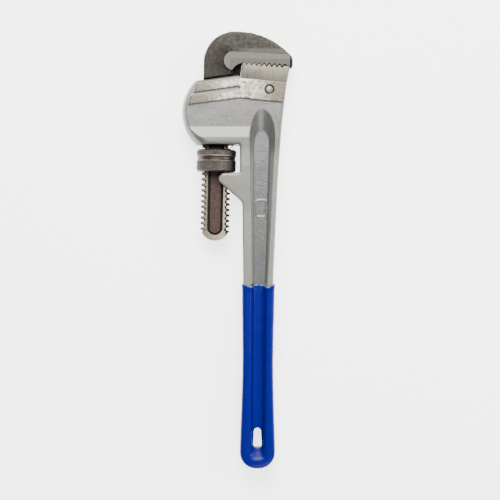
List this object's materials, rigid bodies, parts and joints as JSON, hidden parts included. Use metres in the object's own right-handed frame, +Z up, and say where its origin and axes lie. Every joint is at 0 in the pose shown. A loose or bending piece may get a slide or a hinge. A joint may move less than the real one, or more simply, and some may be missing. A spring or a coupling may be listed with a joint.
{
  "type": "pipe wrench",
  "caption": "Straight pipe wrench: sliding toothed hook jaw with knurled nut, fixed heel jaw, I-beam aluminium handle and dipped vinyl grip with a hang slot.",
  "frame": {"origin": "under the middle of the whole closed wrench, on the plane that it lies on", "axes": "+Y along the handle towards the jaws, +X from the hook's shank to the heel jaw, +Z up through the thickness, with the wrench lying on its side"},
  "size_m": [0.1062, 0.4181, 0.038],
  "materials": {
    "painted_aluminium": "sand-cast aluminium under light grey paint, with the raised rib ground bare",
    "blue_vinyl": "smooth dipped vinyl with a soft shine",
    "ground_steel": "ground with fine upright lines",
    "forged_steel": "drop-forged scale, dark and mottled, with ground flats beside the teeth",
    "nut_steel": "dark steel with a diamond knurl worn bright on its crests",
    "spring_steel": "blued spring steel",
    "pin_steel": "plain steel with a chamfered head"
  },
  "bodies": {
    "handle": {"handle_casting": "painted_aluminium", "vinyl_grip": "blue_vinyl", "heel_jaw": "ground_steel", "heel_jaw_pin": "pin_steel", "coil_spring": "spring_steel"},
    "spring_saddle": {"flat_spring": "spring_steel", "spring_rivet": "pin_steel"},
    "hook": {"hook_jaw": "forged_steel"},
    "nut": {"adjusting_nut": "nut_steel"}
  },
  "joints": [
    {"name": "jaw_rock", "type": "hinge", "parent": "handle", "child": "spring_saddle", "pos_m": [-0.03381, 0.14837, 0.019], "axis": [0, 0, 1], "range_deg": [0, 2], "stiffness_Nm_per_rad": 3, "springref_deg": -6.88, "deforming": ["coil_spring"]},
    {"name": "jaw_slide", "type": "slide", "parent": "spring_saddle", "child": "hook", "axis": [0.0227, 0.9997, 0], "range_m": [0, 0.056]},
    {"name": "nut_spin", "type": "hinge", "parent": "spring_saddle", "child": "nut", "pos_m": [-0.02022, 0.08604, 0.019], "axis": [0.0227, 0.9997, 0], "range_deg": [-3841, 0]}
  ],
  "couplings": [
    {"joint": "nut_spin", "follows": "jaw_slide", "rad_per_m": -1196.8}
  ]
}
